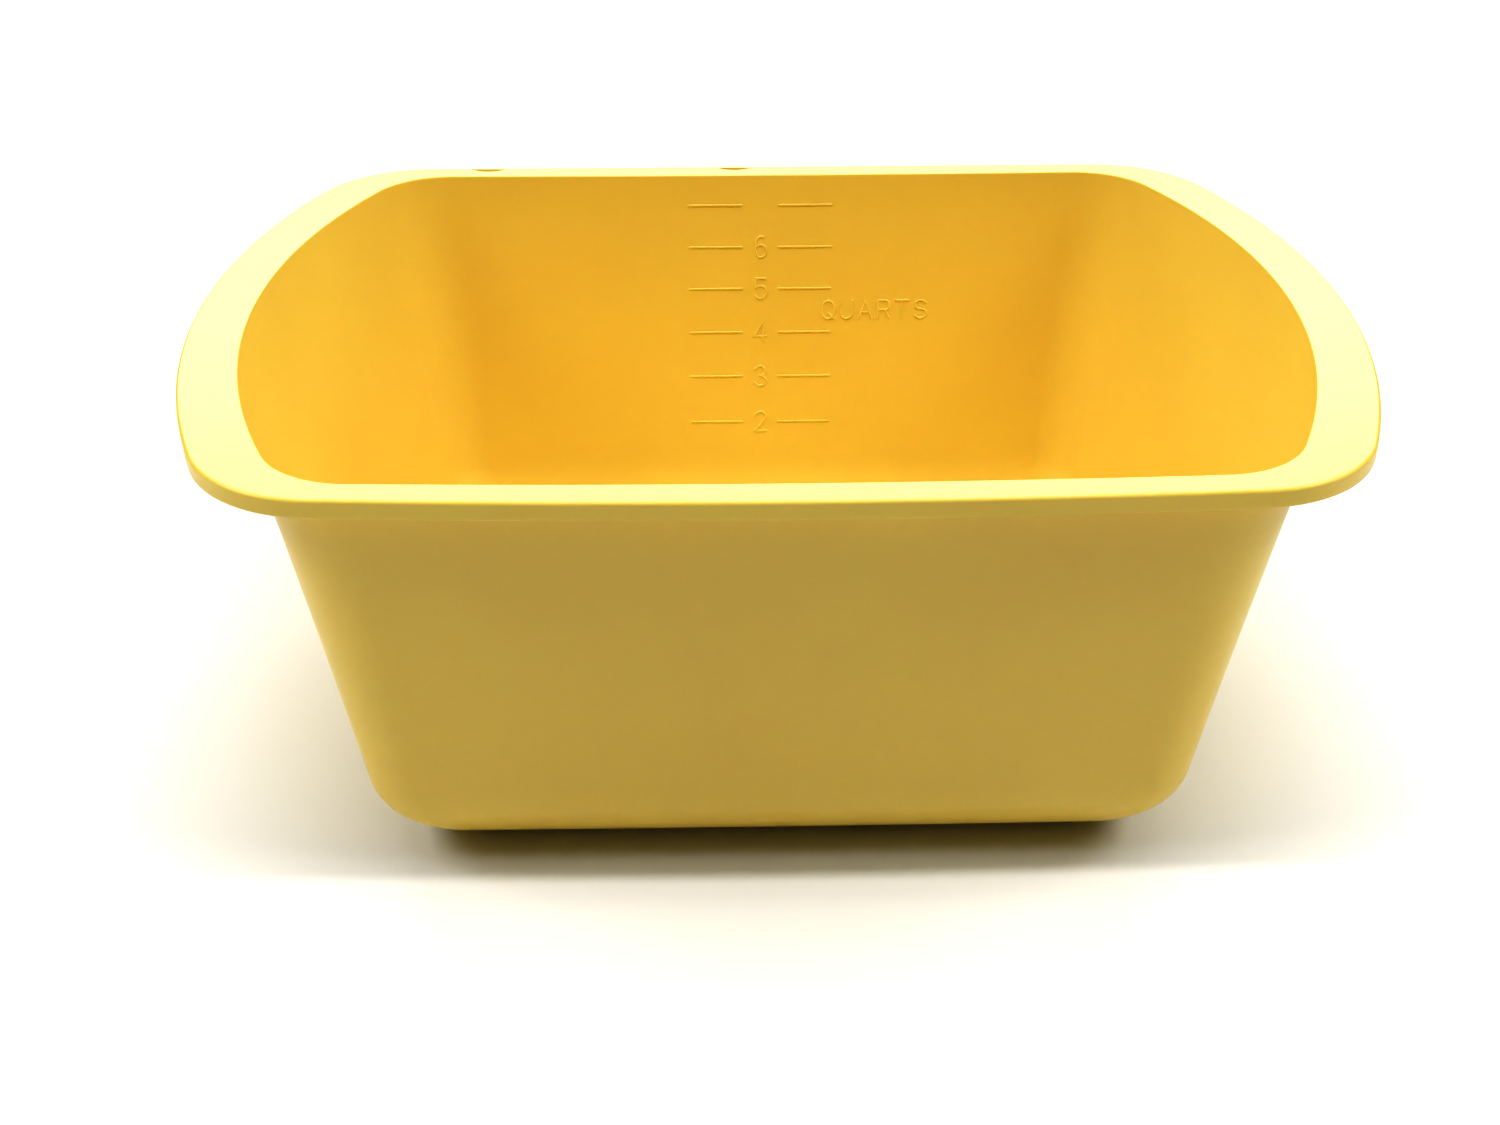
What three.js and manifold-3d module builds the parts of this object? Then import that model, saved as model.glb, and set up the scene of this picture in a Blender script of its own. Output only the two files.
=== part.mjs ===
// A deep rectangular basin, injection moulded in one piece: a drafted shell with bowed short ends, a flat
// flange rim with a turned-down skirt, and a raised graduation scale on the inside of the back wall.
// Millimetres, +Z up, +X along the length, +Y towards the wall that carries the scale.
// The origin is the middle of the underside.
import * as THREE from "three";
import { mergeVertices } from "three/addons/utils/BufferGeometryUtils.js";
import Module from "manifold-3d";

const wasm = await Module();
wasm.setup();

// A level outline is a rectangle whose ends and sides are shallow arcs. A bow is how far such an arc
// stands out at its middle, and corner is the radius that joins an end arc to a side arc.
const RIM = { length: 342, width: 247, endBow: 31.5, sideBow: 4.2, corner: 38.5 };
const OPENING = { length: 310, width: 227.5, endBow: 30.3, sideBow: 1.8, corner: 26.5 };
const BASE = { length: 239, width: 195, endBow: 7.5, sideBow: 0.3, corner: 12 };

const HEIGHT = 136.4;
const RIM_SAG = 1.3; // how much lower the long rims lie at mid-length than at the ends
const WALL = 1.6;
const BASE_FILLET = 26; // radius inside, where the walls turn into the floor
const FLOOR_CORNER = 22; // corner radius of the flat part of the floor

const FLANGE_THICKNESS = 1.8;
const SKIRT_DROP = 5.2;
const SKIRT_THICKNESS = 1.6;
const EDGE_RADIUS = 0.9; // between the flange and its skirt

const QUART = 946353; // a US liquid quart in cubic millimetres
const NUMBERED_LEVELS = [2, 3, 4, 5, 6];
const TOP_LEVEL = 7;
const SCALE_X = -0.9;
const MARK_LENGTH = 19.6;
const MARK_GAP = 12.8; // between the left and the right mark of a level
const MARK_WIDTH = 0.8;
const MARK_RELIEF = 0.3; // how far marks and letters stand out of the wall
const DIGIT = { width: 5.2, height: 8.4, stroke: 0.8 };
const LETTER = { width: 5.6, height: 7.6, stroke: 0.8 };
const LETTER_PITCH = 6.8;
const UNIT_WORD = "QUARTS";
const UNIT_X = 41; // the word's middle
const UNIT_LEVEL = 4.5; // it stands half-way between the levels 4 and 5

const SLOT_LENGTH = 12.4;
const SLOT_WIDTH = 2.6;
const SLOT_MIDDLES = [-98, -10];

const END_STEPS = 7;
const CORNER_STEPS = 7;
const SIDE_STEPS = 5;
const FILLET_STEPS = 6;
const EDGE_STEPS = 3;
const SLOT_STEPS = 8;
const VOLUME_LAYER = 0.25; // thickness of the layers that are added up to find the levels
const SHARPEST_TURN = 0.5; // a stroke's corner is never drawn out further than twice its half width
const ROOT = 0.8; // how deep a raised mark is set into the wall that carries it

// ---- level outlines ----

function blend(low, high, t) {
  const between = (key) => THREE.MathUtils.lerp(low[key], high[key], t);
  return {
    length: between("length"),
    width: between("width"),
    endBow: between("endBow"),
    sideBow: between("sideBow"),
    corner: between("corner"),
  };
}

function inset(section, distance, corner = section.corner - distance) {
  return {
    ...section,
    length: section.length - 2 * distance,
    width: section.width - 2 * distance,
    corner,
  };
}

function bowRadius(halfChord, bow) {
  return (halfChord * halfChord + bow * bow) / (2 * bow);
}

// How far a side stands back at x from where it is at its middle.
function sideRecess({ length, sideBow }, x) {
  const radius = bowRadius(length / 2, sideBow);
  return radius - Math.sqrt(radius * radius - x * x);
}

function arcPoints(centre, radius, from, to, steps) {
  return new THREE.EllipseCurve(centre.x, centre.y, radius, radius, from, to).getPoints(steps);
}

// One quarter of the outline, from the middle of the +X end to the middle of the +Y side.
function quarterOutline({ length, width, endBow, sideBow, corner }) {
  const endRadius = bowRadius(width / 2, endBow);
  const sideRadius = bowRadius(length / 2, sideBow);
  const endCentre = new THREE.Vector2(length / 2 - endRadius, 0);
  const sideCentre = new THREE.Vector2(0, width / 2 - sideRadius);

  // The corner arc touches both arcs from inside, so its centre lies where two circles cross.
  const toEnd = endRadius - corner;
  const toSide = sideRadius - corner;
  const between = sideCentre.clone().sub(endCentre);
  const span = between.length();
  const along = (toEnd * toEnd - toSide * toSide + span * span) / (2 * span);
  const across = Math.sqrt(toEnd * toEnd - along * along);
  const direction = between.divideScalar(span);
  const normal = new THREE.Vector2(-direction.y, direction.x);
  const candidates = [across, -across].map((offset) =>
    endCentre.clone().addScaledVector(direction, along).addScaledVector(normal, offset),
  );
  const cornerCentre = candidates[0].y > candidates[1].y ? candidates[0] : candidates[1];

  const endAngle = cornerCentre.clone().sub(endCentre).angle();
  const sideAngle = cornerCentre.clone().sub(sideCentre).angle();
  return [
    ...arcPoints(endCentre, endRadius, 0, endAngle, END_STEPS),
    ...arcPoints(cornerCentre, corner, endAngle, sideAngle, CORNER_STEPS).slice(1),
    ...arcPoints(sideCentre, sideRadius, sideAngle, Math.PI / 2, SIDE_STEPS).slice(1),
  ];
}

function outline(section) {
  const quarter = quarterOutline(section);
  const mirrored = (points, x, y) => points.map((p) => new THREE.Vector2(p.x * x, p.y * y));
  const half = [...quarter, ...mirrored(quarter, -1, 1).reverse().slice(1)];
  return [...half, ...mirrored(half, 1, -1).reverse().slice(1, -1)];
}

// ---- the shell ----

function innerSection(z) {
  return blend(BASE, OPENING, z / HEIGHT);
}

function sagged(x, z) {
  const towardsEnd = Math.min(Math.abs(x) / (OPENING.length / 2), 1);
  return z - RIM_SAG * (1 - towardsEnd * towardsEnd) * (z / HEIGHT);
}

function ring(section, z) {
  return outline(section).map((p) => new THREE.Vector3(p.x, p.y, sagged(p.x, z)));
}

// The wall's fillet from the flat floor up, as rings of the inner face or of the outer one.
function filletRings(floorZ, radius, thickness) {
  const rings = [];
  for (let step = 0; step <= FILLET_STEPS; step++) {
    const angle = (step / FILLET_STEPS) * (Math.PI / 2);
    const z = floorZ + radius * (1 - Math.cos(angle));
    const distance = radius * (1 - Math.sin(angle));
    const wall = inset(innerSection(z), -thickness);
    const corner = THREE.MathUtils.lerp(wall.corner, FLOOR_CORNER, distance / radius);
    rings.push(ring(inset(wall, distance, corner), z));
  }
  return rings;
}

function flangeRings() {
  const rings = [ring(OPENING, HEIGHT)];
  for (let step = 0; step <= EDGE_STEPS; step++) {
    const angle = (step / EDGE_STEPS) * (Math.PI / 2);
    const distance = EDGE_RADIUS * (1 - Math.sin(angle));
    rings.push(ring(inset(RIM, distance), HEIGHT - EDGE_RADIUS * (1 - Math.cos(angle))));
  }
  const underside = HEIGHT - FLANGE_THICKNESS;
  rings.push(ring(RIM, HEIGHT - SKIRT_DROP));
  rings.push(ring(inset(RIM, SKIRT_THICKNESS), HEIGHT - SKIRT_DROP));
  rings.push(ring(inset(RIM, SKIRT_THICKNESS), underside));
  rings.push(ring(inset(innerSection(underside), -WALL), underside));
  return rings;
}

// A closed body from rings of equal length: the first and the last ring are closed by a flat fan.
function loft(rings) {
  const size = rings[0].length;
  const vertices = rings.flat();
  const triangles = [];
  for (let level = 0; level + 1 < rings.length; level++) {
    for (let i = 0; i < size; i++) {
      const next = (i + 1) % size;
      const [a, b] = [level * size + i, level * size + next];
      const [c, d] = [a + size, b + size];
      triangles.push(a, d, b, a, c, d);
    }
  }
  for (const level of [0, rings.length - 1]) {
    const middle = rings[level].reduce((sum, p) => sum.add(p), new THREE.Vector3()).divideScalar(size);
    const hub = vertices.push(middle) - 1;
    for (let i = 0; i < size; i++) {
      const [a, b] = [level * size + i, level * size + ((i + 1) % size)];
      triangles.push(...(level === 0 ? [hub, a, b] : [hub, b, a]));
    }
  }
  const geometry = new THREE.BufferGeometry().setFromPoints(vertices);
  geometry.setIndex(triangles);
  return geometry;
}

function shellGeometry() {
  const inside = filletRings(WALL, BASE_FILLET, 0);
  const outside = filletRings(0, BASE_FILLET + WALL, WALL).reverse();
  return loft([...inside, ...flangeRings(), ...outside]);
}

// ---- the scale ----

// Heights above the underside at which the basin holds each number of quarts, by adding thin layers.
function levelHeight(quarts) {
  let z = WALL;
  let volume = 0;
  while (volume < quarts * QUART) {
    const middle = z + VOLUME_LAYER / 2;
    const rise = Math.min((middle - WALL) / BASE_FILLET, 1);
    const distance = BASE_FILLET * (1 - Math.sqrt(1 - (1 - rise) ** 2));
    const section = inset(innerSection(middle), distance, FLOOR_CORNER);
    volume += THREE.ShapeUtils.area(outline(section)) * VOLUME_LAYER;
    z += VOLUME_LAYER;
  }
  return z;
}

// A place on the inner face of the back wall: X to the right, Y up the wall, Z out of it.
function onBackWall(x, z) {
  const wallPoint = (height) => {
    const section = innerSection(height);
    return new THREE.Vector3(x, section.width / 2 - sideRecess(section, x), sagged(x, height));
  };
  const point = wallPoint(z);
  const up = wallPoint(HEIGHT).sub(point).normalize();
  const right = new THREE.Vector3(1, 0, 0);
  const out = new THREE.Vector3().crossVectors(right, up);
  return new THREE.Matrix4().makeBasis(right, up, out).setPosition(point);
}

// A line of one width along a row of points, as a closed shape with square ends.
function strokeShape(points, width) {
  const sides = { left: [], right: [] };
  points.forEach((point, i) => {
    const before = points[i - 1] ?? point;
    const after = points[i + 1] ?? point;
    const into = point.clone().sub(before).normalize();
    const from = after.clone().sub(point).normalize();
    const heading = into.add(from).normalize();
    const single = i === 0 || i === points.length - 1;
    const turn = single ? 1 : heading.dot(after.clone().sub(point).normalize());
    const reach = width / 2 / Math.max(turn, SHARPEST_TURN);
    const across = new THREE.Vector2(-heading.y, heading.x).multiplyScalar(reach);
    sides.left.push(point.clone().add(across));
    sides.right.push(point.clone().sub(across));
  });
  return new THREE.Shape([...sides.right, ...sides.left.reverse()]);
}

function line(...pairs) {
  return pairs.map(([x, y]) => new THREE.Vector2(x, y));
}

function bow(x, y, radiusX, radiusY, fromDegrees, toDegrees, steps = 6) {
  const [from, to] = [fromDegrees, toDegrees].map(THREE.MathUtils.degToRad);
  return new THREE.EllipseCurve(x, y, radiusX, radiusY, from, to, to < from).getPoints(steps);
}

// Each character is a few open strokes in a box one wide and one high, middle at the origin.
const CHARACTERS = {
  2: [[...bow(0, 0.25, 0.45, 0.25, 165, -35), ...line([-0.45, -0.5], [0.5, -0.5])]],
  3: [bow(-0.02, 0.25, 0.42, 0.25, 160, -90), bow(-0.02, -0.25, 0.5, 0.25, 90, -160)],
  4: [line([0.22, -0.5], [0.22, 0.5], [-0.5, -0.2], [0.5, -0.2])],
  5: [[...line([0.42, 0.5], [-0.36, 0.5], [-0.42, 0.02]), ...bow(0, -0.18, 0.5, 0.32, 110, -150, 8)]],
  6: [
    [...bow(0.08, 0.12, 0.48, 0.38, 60, 180), ...bow(0.04, -0.2, 0.44, 0.3, 180, 270, 4)],
    bow(0.04, -0.2, 0.44, 0.3, 160, -90, 8),
  ],
  Q: [bow(0, 0, 0.5, 0.5, 100, 280, 8), bow(0, 0, 0.5, 0.5, 100, -80, 8), line([0.05, -0.2], [0.5, -0.52])],
  U: [[...line([-0.45, 0.5]), ...bow(0, -0.12, 0.45, 0.38, 180, 360), ...line([0.45, 0.5])]],
  A: [line([-0.5, -0.5], [0, 0.5], [0.5, -0.5]), line([-0.3, -0.16], [0.3, -0.16])],
  R: [
    [...line([-0.42, -0.5], [-0.42, 0.5]), ...bow(0.14, 0.24, 0.3, 0.26, 90, -90), ...line([-0.42, -0.02])],
    line([0.08, -0.02], [0.45, -0.5]),
  ],
  T: [line([-0.5, 0.5], [0.5, 0.5]), line([0, 0.5], [0, -0.5])],
  S: [[...bow(0, 0.24, 0.42, 0.26, 25, 230), ...bow(0, -0.24, 0.45, 0.26, 60, -155)]],
};

function raised(shape, place) {
  const depth = ROOT + MARK_RELIEF;
  const geometry = new THREE.ExtrudeGeometry(shape, { depth, bevelEnabled: false });
  return geometry.translate(0, 0, -ROOT).applyMatrix4(place);
}

function characterSolids(character, size, x, z) {
  const scale = ({ x: px, y: py }) => new THREE.Vector2(
    px * (size.width - size.stroke),
    py * (size.height - size.stroke),
  );
  const place = onBackWall(x, z);
  return CHARACTERS[character].map((stroke) =>
    raised(strokeShape(stroke.map(scale), size.stroke), place),
  );
}

function levelMarks(z) {
  return [-1, 1].map((side) => {
    const middle = SCALE_X + (side * (MARK_GAP + MARK_LENGTH)) / 2;
    const half = MARK_LENGTH / 2;
    return raised(strokeShape(line([-half, 0], [half, 0]), MARK_WIDTH), onBackWall(middle, z));
  });
}

function scaleGeometries() {
  const pieces = levelMarks(levelHeight(TOP_LEVEL));
  for (const level of NUMBERED_LEVELS) {
    const z = levelHeight(level);
    pieces.push(...levelMarks(z), ...characterSolids(level, DIGIT, SCALE_X, z));
  }
  const first = UNIT_X - ((UNIT_WORD.length - 1) / 2) * LETTER_PITCH;
  [...UNIT_WORD].forEach((letter, i) => {
    pieces.push(...characterSolids(letter, LETTER, first + i * LETTER_PITCH, levelHeight(UNIT_LEVEL)));
  });
  return pieces;
}

// ---- the slots in the back flange, just inside the skirt ----

function slotGeometry(x) {
  const backY = RIM.width / 2 - sideRecess(RIM, x) - SKIRT_THICKNESS;
  const lens = new THREE.Shape();
  const half = SLOT_LENGTH / 2;
  lens.moveTo(-half, 0);
  lens.quadraticCurveTo(0, -2 * SLOT_WIDTH, half, 0); // it reaches half as far as its control point
  const shape = { depth: SKIRT_DROP, bevelEnabled: false, curveSegments: SLOT_STEPS };
  return new THREE.ExtrudeGeometry(lens, shape).translate(x, backY, HEIGHT - SKIRT_DROP);
}

// ---- joining ----

function solidOf(geometry) {
  const bare = geometry.clone();
  bare.deleteAttribute("normal");
  bare.deleteAttribute("uv");
  const merged = mergeVertices(bare, 1e-4);
  return new wasm.Manifold(
    new wasm.Mesh({
      numProp: 3,
      vertProperties: new Float32Array(merged.attributes.position.array),
      triVerts: new Uint32Array(merged.index.array),
    }),
  );
}

function geometryOf(solid) {
  const { vertProperties, triVerts } = solid.getMesh();
  const geometry = new THREE.BufferGeometry();
  geometry.setAttribute("position", new THREE.BufferAttribute(vertProperties, 3));
  geometry.setIndex(new THREE.BufferAttribute(triVerts, 1));
  geometry.computeVertexNormals();
  return geometry;
}

function basin() {
  let solid = solidOf(shellGeometry());
  for (const piece of scaleGeometries()) solid = solid.add(solidOf(piece));
  for (const x of SLOT_MIDDLES) solid = solid.subtract(solidOf(slotGeometry(x)));
  const plastic = new THREE.MeshStandardMaterial({ color: 0xe8c04a, roughness: 0.45, metalness: 0 });
  const mesh = new THREE.Mesh(geometryOf(solid), plastic);
  mesh.name = "basin";
  return mesh;
}

const part = new THREE.Group();
part.add(basin());

export default part;
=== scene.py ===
"""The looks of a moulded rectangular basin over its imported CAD: one fine shell, one plastic, a white studio."""
import math
from typing import NamedTuple

import bpy
from mathutils import Matrix, Vector


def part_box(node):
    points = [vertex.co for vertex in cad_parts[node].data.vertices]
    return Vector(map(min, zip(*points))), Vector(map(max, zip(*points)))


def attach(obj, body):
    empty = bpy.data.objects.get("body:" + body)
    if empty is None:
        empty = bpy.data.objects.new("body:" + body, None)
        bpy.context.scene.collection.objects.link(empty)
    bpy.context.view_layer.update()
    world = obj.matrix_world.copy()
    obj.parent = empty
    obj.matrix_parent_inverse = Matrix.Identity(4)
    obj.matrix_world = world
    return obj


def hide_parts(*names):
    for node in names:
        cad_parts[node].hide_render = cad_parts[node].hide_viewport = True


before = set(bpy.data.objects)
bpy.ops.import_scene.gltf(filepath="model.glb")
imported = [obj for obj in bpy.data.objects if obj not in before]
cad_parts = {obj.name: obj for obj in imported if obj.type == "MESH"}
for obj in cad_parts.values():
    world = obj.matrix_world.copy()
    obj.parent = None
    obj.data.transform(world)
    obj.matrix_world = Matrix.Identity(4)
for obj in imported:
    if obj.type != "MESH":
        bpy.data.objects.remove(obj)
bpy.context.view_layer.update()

MM = 0.001
NODE = "basin"
BODY = "root"

# ---------------------------------------------------------------- sizes

low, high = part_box(NODE)
HEIGHT = high.z


class Section(NamedTuple):
    """A level outline: a rectangle whose ends and sides are shallow arcs, joined by corner arcs."""

    length: float
    width: float
    end_bow: float
    side_bow: float
    corner: float


RIM = Section(high.x - low.x, high.y - low.y, 31.5 * MM, 4.2 * MM, 38.5 * MM)
OPENING = Section(310 * MM, 227.5 * MM, 30.3 * MM, 1.8 * MM, 26.5 * MM)
BASE = Section(239 * MM, 195 * MM, 7.5 * MM, 0.3 * MM, 12 * MM)

RIM_SAG = 1.3 * MM
WALL = 1.6 * MM
BASE_FILLET = 26 * MM
FLOOR_CORNER = 22 * MM
FLANGE_THICKNESS = 1.8 * MM
SKIRT_DROP = 5.2 * MM
SKIRT_THICKNESS = 1.6 * MM

RIM_EDGE = 0.9 * MM  # radius between the flange and its skirt
MOUTH_EDGE = 0.45 * MM  # radius between the flange and the inner wall
SKIRT_EDGE = 0.45 * MM  # radius at the skirt's lower edge
UNDER_EDGE = 0.9 * MM  # fillets on the flange's underside

END_STEPS = 22
CORNER_STEPS = 14
SIDE_STEPS = 20
WALL_STEPS = 30
FILLET_STEPS = 14
EDGE_STEPS = 5
FLOOR_STEPS = 7

# ---------------------------------------------------------------- level outlines


def blend(a, b, t):
    return Section(*(p + (q - p) * t for p, q in zip(a, b)))


def inset(section, distance, corner=None):
    return section._replace(
        length=section.length - 2 * distance,
        width=section.width - 2 * distance,
        corner=section.corner - distance if corner is None else corner,
    )


def bow_radius(half_chord, bow):
    return (half_chord**2 + bow**2) / (2 * bow)


def side_recess(section, x):
    """How far a side stands back at x from where it is at its middle."""
    radius = bow_radius(section.length / 2, section.side_bow)
    return radius - math.sqrt(radius**2 - x**2)


def arc(centre, radius, start, end, steps):
    angles = (start + (end - start) * i / steps for i in range(steps + 1))
    return [Vector((centre.x + radius * math.cos(a), centre.y + radius * math.sin(a))) for a in angles]


def quarter_outline(section):
    """From the middle of the +X end to the middle of the +Y side."""
    end_radius = bow_radius(section.width / 2, section.end_bow)
    side_radius = bow_radius(section.length / 2, section.side_bow)
    end_centre = Vector((section.length / 2 - end_radius, 0))
    side_centre = Vector((0, section.width / 2 - side_radius))

    # The corner arc touches both arcs from inside, so its centre lies where two circles cross.
    to_end = end_radius - section.corner
    to_side = side_radius - section.corner
    between = side_centre - end_centre
    span = between.length
    along = (to_end**2 - to_side**2 + span**2) / (2 * span)
    across = math.sqrt(to_end**2 - along**2)
    direction = between / span
    normal = Vector((-direction.y, direction.x))
    middle = end_centre + direction * along
    corner_centre = max((middle + normal * across, middle - normal * across), key=lambda p: p.y)

    end_angle = math.atan2(*(corner_centre - end_centre).yx)
    side_angle = math.atan2(*(corner_centre - side_centre).yx)
    return [
        *arc(end_centre, end_radius, 0, end_angle, END_STEPS),
        *arc(corner_centre, section.corner, end_angle, side_angle, CORNER_STEPS)[1:],
        *arc(side_centre, side_radius, side_angle, math.pi / 2, SIDE_STEPS)[1:],
    ]


def outline(section):
    quarter = quarter_outline(section)
    half = quarter + [Vector((-p.x, p.y)) for p in reversed(quarter[:-1])]
    return half + [Vector((p.x, -p.y)) for p in reversed(half[1:-1])]


# ---------------------------------------------------------------- the shell


def inner_section(z):
    return blend(BASE, OPENING, z / HEIGHT)


def sagged(x, z):
    towards_end = min(abs(x) / (OPENING.length / 2), 1)
    return z - RIM_SAG * (1 - towards_end**2) * (z / HEIGHT)


def ring(section, z):
    return [Vector((p.x, p.y, sagged(p.x, z))) for p in outline(section)]


def quarter_turn(steps):
    return [math.pi / 2 * i / steps for i in range(steps + 1)]


def edge(section, z, inwards, downwards, radius, start_turned=False):
    """Rings round a small convex edge: from level to upright, or the other way."""
    angles = quarter_turn(EDGE_STEPS)
    if start_turned:
        angles.reverse()
    return [
        ring(
            inset(section, inwards * radius * (1 - math.sin(a))),
            z + downwards * radius * (1 - math.cos(a)),
        )
        for a in angles
    ]


def floor_rings(first):
    """Rings that close the floor towards its middle, from the flat part's outline."""
    shares = (i / FLOOR_STEPS for i in range(1, FLOOR_STEPS))
    return [[Vector((p.x * share, p.y * share, p.z)) for p in first] for share in shares]


def fillet_rings(floor_z, radius, thickness):
    rings = []
    for a in quarter_turn(FILLET_STEPS):
        z = floor_z + radius * (1 - math.cos(a))
        distance = radius * (1 - math.sin(a))
        wall = inset(inner_section(z), -thickness)
        corner = wall.corner + (FLOOR_CORNER - wall.corner) * distance / radius
        rings.append(ring(inset(wall, distance, corner), z))
    return floor_rings(rings[0]) + rings


def wall_rings(bottom, top, thickness):
    levels = (bottom + (top - bottom) * i / WALL_STEPS for i in range(1, WALL_STEPS))
    return [ring(inset(inner_section(z), -thickness), z) for z in levels]


def shell_rings():
    inside = fillet_rings(WALL, BASE_FILLET, 0)
    outside = fillet_rings(0, BASE_FILLET + WALL, WALL)
    underside = HEIGHT - FLANGE_THICKNESS
    mouth = HEIGHT - MOUTH_EDGE
    skirt_foot = HEIGHT - SKIRT_DROP
    skirt_inner = inset(RIM, SKIRT_THICKNESS)
    wall_below = underside - UNDER_EDGE
    return [
        *inside,
        *wall_rings(WALL + BASE_FILLET, mouth, 0),
        *edge(inner_section(mouth), HEIGHT, -1, -1, MOUTH_EDGE, start_turned=True),
        *edge(RIM, HEIGHT, 1, -1, RIM_EDGE),
        *edge(RIM, skirt_foot, 1, 1, SKIRT_EDGE, start_turned=True),
        *edge(skirt_inner, skirt_foot, -1, 1, SKIRT_EDGE),
        *edge(skirt_inner, underside, 1, -1, UNDER_EDGE, start_turned=True),
        *edge(inset(inner_section(wall_below), -WALL), underside, -1, -1, UNDER_EDGE),
        *reversed(wall_rings(WALL + BASE_FILLET, wall_below, WALL)),
        *reversed(outside),
    ]


def loft(name, rings):
    """A closed mesh of quads between rings, with the first and last ring closed by a fan."""
    size = len(rings[0])
    vertices = [p for r in rings for p in r]
    faces = []
    for level in range(len(rings) - 1):
        for i in range(size):
            a, b = level * size + i, level * size + (i + 1) % size
            faces.append((a, a + size, b + size, b))
    for level in (0, len(rings) - 1):
        hub = len(vertices)
        vertices.append(Vector((0, 0, rings[level][0].z)))
        for i in range(size):
            a, b = level * size + i, level * size + (i + 1) % size
            faces.append((hub, a, b) if level == 0 else (hub, b, a))
    mesh = bpy.data.meshes.new(name)
    mesh.from_pydata(vertices, [], faces)
    return mesh


# ---------------------------------------------------------------- the raised scale

QUART = 946353 * MM**3  # a US liquid quart
NUMBERED_LEVELS = (2, 3, 4, 5, 6)
TOP_LEVEL = 7
SCALE_X = -0.9 * MM
MARK_LENGTH = 19.6 * MM
MARK_GAP = 12.8 * MM
RELIEF = 0.3 * MM
ROOT = 0.5 * MM
STROKE = 0.8 * MM
DIGIT_SIZE = (5.2 * MM, 8.4 * MM)
LETTER_SIZE = (5.6 * MM, 7.6 * MM)
LETTER_PITCH = 6.8 * MM
UNIT_WORD = "QUARTS"
UNIT_X = 41 * MM
UNIT_LEVEL = 4.5
VOLUME_LAYER = 0.25 * MM  # thickness of the layers that are added up to find the levels


def area(points):
    pairs = zip(points, points[1:] + points[:1])
    return abs(sum(p.x * q.y - q.x * p.y for p, q in pairs)) / 2


def level_height(quarts):
    """Height above the underside at which the basin holds so many quarts, by adding thin layers."""
    z, volume = WALL, 0.0
    while volume < quarts * QUART:
        middle = z + VOLUME_LAYER / 2
        rise = min((middle - WALL) / BASE_FILLET, 1)
        distance = BASE_FILLET * (1 - math.sqrt(1 - (1 - rise) ** 2))
        volume += area(outline(inset(inner_section(middle), distance, FLOOR_CORNER))) * VOLUME_LAYER
        z += VOLUME_LAYER
    return z


def on_back_wall(x, z):
    """A frame on the back wall's inner face: X to the right, Y up the wall, Z out of it."""

    def wall_point(height):
        section = inner_section(height)
        return Vector((x, section.width / 2 - side_recess(section, x), sagged(x, height)))

    point = wall_point(z)
    up = (wall_point(HEIGHT) - point).normalized()
    right = Vector((1, 0, 0))
    out = right.cross(up)
    basis = Matrix((right, up, out)).transposed().to_4x4()
    return Matrix.Translation(point) @ basis


def line(*points):
    return [Vector(p) for p in points]


def bow(x, y, radius_x, radius_y, start, end, steps=14):
    angles = (math.radians(start + (end - start) * i / steps) for i in range(steps + 1))
    return [Vector((x + radius_x * math.cos(a), y + radius_y * math.sin(a))) for a in angles]


# Each character is a few open strokes in a box one wide and one high, middle at the origin.
CHARACTERS = {
    2: [bow(0, 0.25, 0.45, 0.25, 165, -35) + line((-0.45, -0.5), (0.5, -0.5))],
    3: [bow(-0.02, 0.25, 0.42, 0.25, 160, -90), bow(-0.02, -0.25, 0.5, 0.25, 90, -160)],
    4: [line((0.22, -0.5), (0.22, 0.5), (-0.5, -0.2), (0.5, -0.2))],
    5: [line((0.42, 0.5), (-0.36, 0.5), (-0.42, 0.02)) + bow(0, -0.18, 0.5, 0.32, 110, -150, 18)],
    6: [
        bow(0.08, 0.12, 0.48, 0.38, 60, 180) + bow(0.04, -0.2, 0.44, 0.3, 180, 270, 8),
        bow(0.04, -0.2, 0.44, 0.3, 160, -90, 18),
    ],
    "Q": [
        bow(0, 0, 0.5, 0.5, 100, 280, 18),
        bow(0, 0, 0.5, 0.5, 100, -80, 18),
        line((0.05, -0.2), (0.5, -0.52)),
    ],
    "U": [line((-0.45, 0.5)) + bow(0, -0.12, 0.45, 0.38, 180, 360) + line((0.45, 0.5))],
    "A": [line((-0.5, -0.5), (0, 0.5), (0.5, -0.5)), line((-0.3, -0.16), (0.3, -0.16))],
    "R": [
        line((-0.42, -0.5), (-0.42, 0.5)) + bow(0.14, 0.24, 0.3, 0.26, 90, -90) + line((-0.42, -0.02)),
        line((0.08, -0.02), (0.45, -0.5)),
    ],
    "T": [line((-0.5, 0.5), (0.5, 0.5)), line((0, 0.5), (0, -0.5))],
    "S": [bow(0, 0.24, 0.42, 0.26, 25, 230, 12) + bow(0, -0.24, 0.45, 0.26, 60, -155, 12)],
}

ROUND_STEPS = 6  # segments over a stroke's rounded top
CAP_STEPS = 3
CAP_REACH = 0.97  # a round end stops just short of a point
SHARPEST_TURN = 0.5  # a corner is never drawn out further than twice its half width


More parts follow.
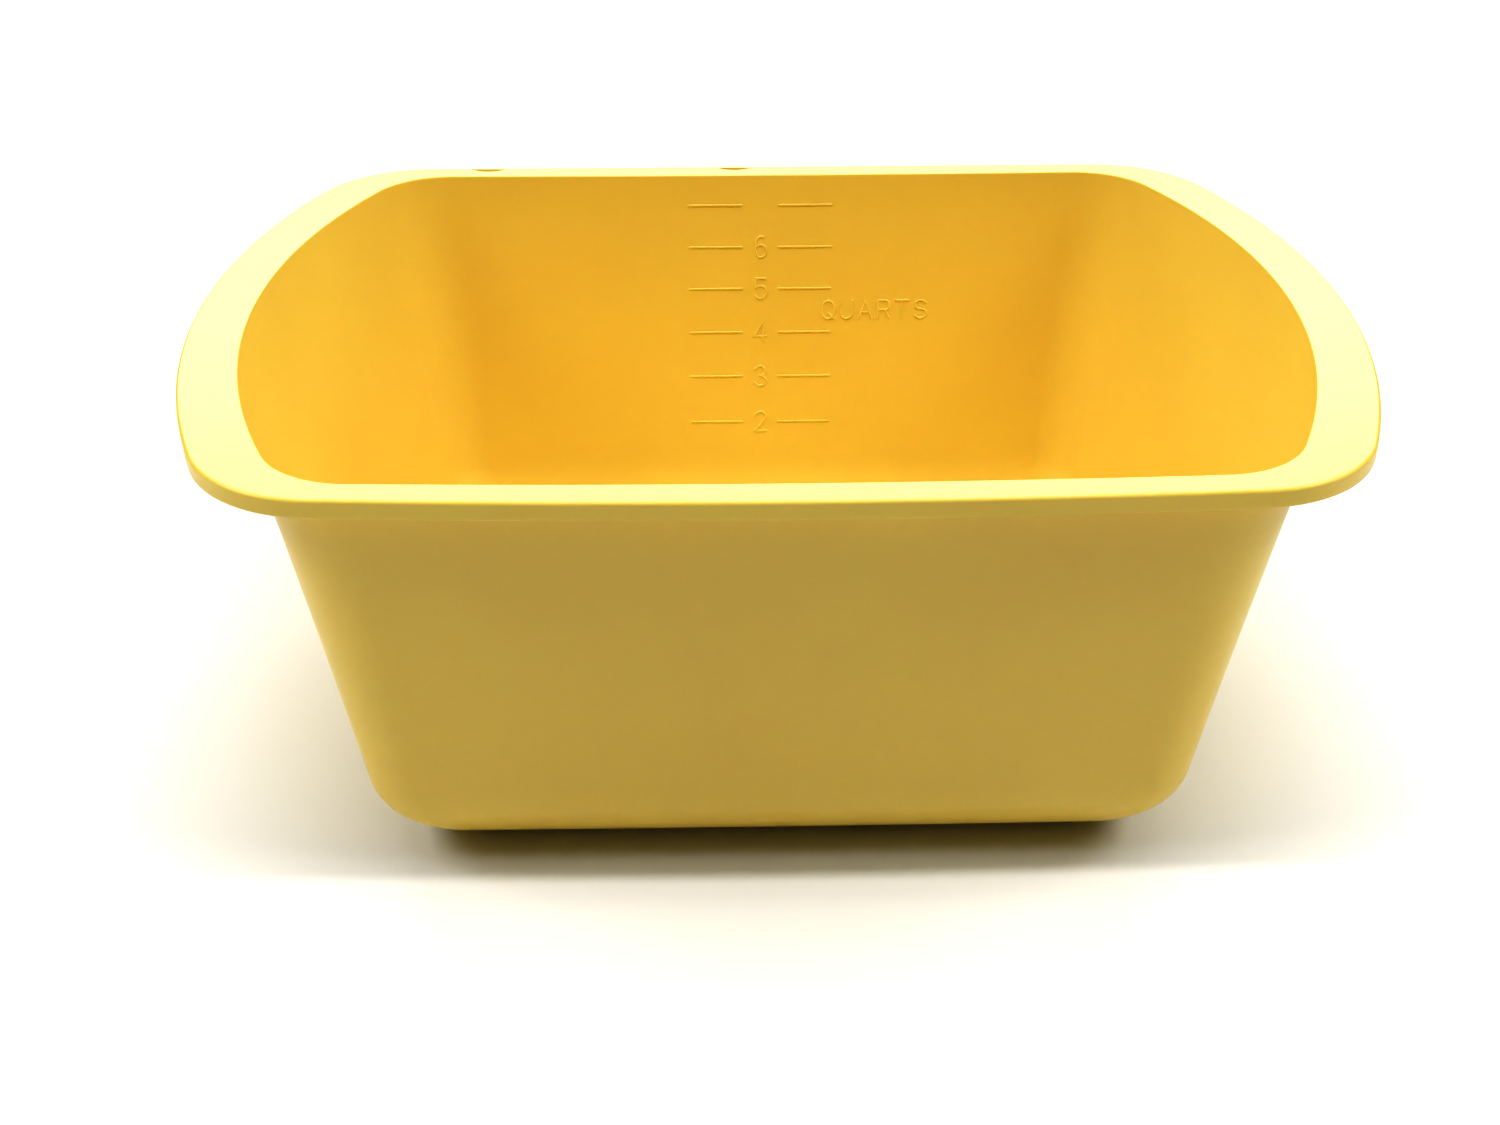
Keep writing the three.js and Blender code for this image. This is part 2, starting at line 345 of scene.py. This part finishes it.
def stroke_sections(points):
    """(place, direction across, share of full size) along a stroke, tapering to round ends."""
    across, headings = [], []
    for i, point in enumerate(points):
        before = (point - points[i - 1]).normalized() if i else None
        after = (points[i + 1] - point).normalized() if i + 1 < len(points) else None
        heading = ((before or after) + (after or before)).normalized()
        turn = heading.dot(after or before)
        across.append(Vector((-heading.y, heading.x)) / max(turn, SHARPEST_TURN))
        headings.append(heading)
    sections = [(p, a, 1.0) for p, a in zip(points, across)]
    for k in range(1, CAP_STEPS + 1):
        angle = math.pi / 2 * k / CAP_STEPS * CAP_REACH
        reach, share = STROKE / 2 * math.sin(angle), math.cos(angle)
        sections.insert(0, (points[0] - headings[0] * reach, across[0], share))
        sections.append((points[-1] + headings[-1] * reach, across[-1], share))
    return sections


def stroke_mesh(points, place, vertices, faces):
    """Adds one rounded ridge, its foot set a little into the wall."""
    sections = stroke_sections(points)
    profile = [(-1, -ROOT)]
    for k in range(ROUND_STEPS + 1):
        angle = math.pi * (1 - k / ROUND_STEPS)
        profile.append((math.cos(angle), RELIEF * math.sin(angle)))
    profile.append((1, -ROOT))
    size = len(profile)
    first = len(vertices)
    for point, across, share in sections:
        for side, out in profile:
            offset = across * (side * share * STROKE / 2)
            height = out * share if out > 0 else out
            vertices.append(place @ Vector((point.x + offset.x, point.y + offset.y, height)))
    for level in range(len(sections) - 1):
        for i in range(size):
            a, b = first + level * size + i, first + level * size + (i + 1) % size
            faces.append((a, a + size, b + size, b))
    last = first + (len(sections) - 1) * size
    faces.append(tuple(range(first, first + size)))
    faces.append(tuple(reversed(range(last, last + size))))


def character_strokes(character, size, x, z):
    scale = [side - STROKE for side in size]
    place = on_back_wall(x, z)
    return [([Vector((p.x * scale[0], p.y * scale[1])) for p in s], place) for s in CHARACTERS[character]]


def level_marks(z):
    half = (MARK_LENGTH - STROKE) / 2
    middles = (SCALE_X + side * (MARK_GAP + MARK_LENGTH) / 2 for side in (-1, 1))
    return [(line((-half, 0), (half, 0)), on_back_wall(x, z)) for x in middles]


def scale_strokes():
    strokes = level_marks(level_height(TOP_LEVEL))
    for level in NUMBERED_LEVELS:
        z = level_height(level)
        strokes += level_marks(z) + character_strokes(level, DIGIT_SIZE, SCALE_X, z)
    first = UNIT_X - (len(UNIT_WORD) - 1) / 2 * LETTER_PITCH
    z = level_height(UNIT_LEVEL)
    for i, letter in enumerate(UNIT_WORD):
        strokes += character_strokes(letter, LETTER_SIZE, first + i * LETTER_PITCH, z)
    return strokes


def scale_mesh():
    vertices, faces = [], []
    for points, place in scale_strokes():
        stroke_mesh(points, place, vertices, faces)
    mesh = bpy.data.meshes.new("scale")
    mesh.from_pydata(vertices, [], faces)
    return mesh


# ---------------------------------------------------------------- slots in the back flange

SLOT_LENGTH = 12.4 * MM
SLOT_WIDTH = 2.6 * MM
SLOT_MIDDLES = (-98 * MM, -10 * MM)
LENS_STEPS = 24


def slots_mesh():
    vertices, faces = [], []
    for x in SLOT_MIDDLES:
        back_y = RIM.width / 2 - side_recess(RIM, x) - SKIRT_THICKNESS
        lens = []
        for i in range(LENS_STEPS + 1):
            t = 2 * i / LENS_STEPS - 1
            lens.append((x + t * SLOT_LENGTH / 2, back_y - SLOT_WIDTH * (1 - t * t)))
        first, size = len(vertices), len(lens)
        for z in (HEIGHT - SKIRT_DROP, HEIGHT + SKIRT_DROP):
            vertices += [Vector((px, py, z)) for px, py in lens]
        for i in range(size):
            a, b = first + i, first + (i + 1) % size
            faces.append((a, b, b + size, a + size))
        faces.append(tuple(reversed(range(first, first + size))))
        faces.append(tuple(range(first + size, first + 2 * size)))
    mesh = bpy.data.meshes.new("slots")
    mesh.from_pydata(vertices, [], faces)
    return mesh


# ---------------------------------------------------------------- one closed moulding


def add_object(name, mesh):
    piece = bpy.data.objects.new(name, mesh)
    bpy.context.scene.collection.objects.link(piece)
    return piece


def combine(piece, mesh, operation):
    tool = add_object("tool", mesh)
    modifier = piece.modifiers.new(operation, "BOOLEAN")
    modifier.operation = operation
    modifier.solver = "EXACT"
    modifier.use_self = operation == "UNION"
    modifier.object = tool
    evaluated = piece.evaluated_get(bpy.context.evaluated_depsgraph_get())
    combined = bpy.data.meshes.new_from_object(evaluated)
    piece.modifiers.clear()
    piece.data = combined
    bpy.data.objects.remove(tool)


def make_basin():
    piece = add_object("basin_moulding", loft("basin_moulding", shell_rings()))
    combine(piece, scale_mesh(), "UNION")
    combine(piece, slots_mesh(), "DIFFERENCE")
    piece.data.shade_smooth()
    piece.data.set_sharp_from_angle(angle=math.radians(40))
    weighted = piece.modifiers.new("weighted", "WEIGHTED_NORMAL")
    weighted.keep_sharp = True
    return piece


# ---------------------------------------------------------------- plastic


def add_node(tree, kind, **inputs):
    node = tree.nodes.new(kind)
    for name, value in inputs.items():
        node.inputs[name.replace("_", " ")].default_value = value
    return node


def moulded_plastic():
    """Pale yellow polypropylene: a satin mould texture, faint flow shading, and light that soaks in."""
    material = bpy.data.materials.new("moulded_polypropylene")
    material.use_nodes = True
    tree = material.node_tree
    surface = tree.nodes["Principled BSDF"]
    surface.inputs["IOR"].default_value = 1.49
    surface.inputs["Subsurface Weight"].default_value = 0.2
    surface.inputs["Subsurface Radius"].default_value = (1.0, 0.6, 0.15)
    surface.inputs["Subsurface Scale"].default_value = 3 * MM
    place = tree.nodes.new("ShaderNodeTexCoord").outputs["Object"]

    flow = add_node(tree, "ShaderNodeTexNoise", Scale=14.0, Detail=3.0)
    tree.links.new(place, flow.inputs["Vector"])
    tint = tree.nodes.new("ShaderNodeValToRGB")
    tint.color_ramp.elements[0].position = 0.3
    tint.color_ramp.elements[0].color = (0.81, 0.615, 0.115, 1)
    tint.color_ramp.elements[1].position = 0.7
    tint.color_ramp.elements[1].color = (0.83, 0.645, 0.125, 1)
    tree.links.new(flow.outputs["Fac"], tint.inputs["Fac"])
    tree.links.new(tint.outputs["Color"], surface.inputs["Base Color"])

    grain = add_node(tree, "ShaderNodeTexNoise", Scale=1400.0, Detail=2.0)
    tree.links.new(place, grain.inputs["Vector"])
    rough = tree.nodes.new("ShaderNodeMapRange")
    rough.inputs["To Min"].default_value = 0.27
    rough.inputs["To Max"].default_value = 0.37
    tree.links.new(grain.outputs["Fac"], rough.inputs["Value"])
    tree.links.new(rough.outputs["Result"], surface.inputs["Roughness"])
    bump = add_node(tree, "ShaderNodeBump", Strength=0.25, Distance=0.02 * MM)
    tree.links.new(grain.outputs["Fac"], bump.inputs["Height"])
    tree.links.new(bump.outputs["Normal"], surface.inputs["Normal"])
    return material


# ---------------------------------------------------------------- studio

FLOOR_SIZE = 2.6
FLOOR_WHITE = 0.85
WORLD_FILL = 0.02
MIDDLE = (0, 0, 0.1)

CAMERA_PLACE = (-18.07 * MM, -500.4 * MM, HEIGHT + 211.0 * MM)
CAMERA_PITCH = 31.302  # degrees below level
CAMERA_YAW = 1.261  # degrees towards +X
SENSOR_WIDTH = 36  # millimetres, as the lens
LENS = 42.86
VIEW_GAMMA = 0.71

# name, place, what it points at, size, watts
LIGHTS = (
    ("strip_front", (0, -0.333, 1.6), (0, -0.333, 0), (1.2, 0.06), 15),
    ("strip_middle", (0, -0.2, 1.6), (0, -0.2, 0), (1.2, 0.1), 2),
    ("back", (0, 1.7, 1.0), MIDDLE, (2.4, 0.6), 29),
    ("back_high", (0, 1.2, 1.3), MIDDLE, (1.6, 0.5), 2),
    ("left", (-1.2, -0.1, 1.2), MIDDLE, (1.0, 0.6), 14),
    ("right", (1.2, -0.1, 1.2), MIDDLE, (1.0, 0.6), 14),
)


def make_floor():
    half = FLOOR_SIZE / 2
    mesh = bpy.data.meshes.new("floor")
    corners = [(-half, -half), (half, -half), (half, half), (-half, half)]
    mesh.from_pydata([Vector((x, y, 0)) for x, y in corners], [], [(0, 1, 2, 3)])
    floor = add_object("floor", mesh)
    material = bpy.data.materials.new("floor")
    material.use_nodes = True
    surface = material.node_tree.nodes["Principled BSDF"]
    surface.inputs["Base Color"].default_value = (FLOOR_WHITE, FLOOR_WHITE, FLOOR_WHITE, 1)
    surface.inputs["Roughness"].default_value = 0.8
    mesh.materials.append(material)


def make_world():
    """White behind the floor's far edge, and only a faint fill for the object itself."""
    world = bpy.data.worlds.new("studio")
    world.use_nodes = True
    background = world.node_tree.nodes["Background"]
    background.inputs["Color"].default_value = (1, 1, 1, 1)
    seen = world.node_tree.nodes.new("ShaderNodeLightPath").outputs["Is Camera Ray"]
    strength = world.node_tree.nodes.new("ShaderNodeMapRange")
    strength.inputs["To Min"].default_value = WORLD_FILL
    strength.inputs["To Max"].default_value = 1.0
    world.node_tree.links.new(seen, strength.inputs["Value"])
    world.node_tree.links.new(strength.outputs["Result"], background.inputs["Strength"])
    bpy.context.scene.world = world


def make_area_light(name, place, target, size, power):
    light = bpy.data.lights.new(name, "AREA")
    light.shape = "RECTANGLE"
    light.size, light.size_y = size
    light.energy = power
    lamp = bpy.data.objects.new(name, light)
    lamp.location = place
    lamp.rotation_euler = (Vector(target) - Vector(place)).to_track_quat("-Z", "Y").to_euler()
    bpy.context.scene.collection.objects.link(lamp)


def make_camera():
    data = bpy.data.cameras.new("camera")
    data.sensor_width = SENSOR_WIDTH
    data.lens = LENS
    camera = bpy.data.objects.new("camera", data)
    camera.location = CAMERA_PLACE
    camera.rotation_euler = (math.radians(90 - CAMERA_PITCH), 0, math.radians(-CAMERA_YAW))
    bpy.context.scene.collection.objects.link(camera)
    bpy.context.scene.camera = camera


basin = make_basin()
basin.data.materials.clear()
basin.data.materials.append(moulded_plastic())
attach(basin, BODY)
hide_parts(NODE)

make_floor()
make_world()
for light in LIGHTS:
    make_area_light(*light)
make_camera()
bpy.context.scene.view_settings.view_transform = "Standard"
bpy.context.scene.view_settings.gamma = VIEW_GAMMA
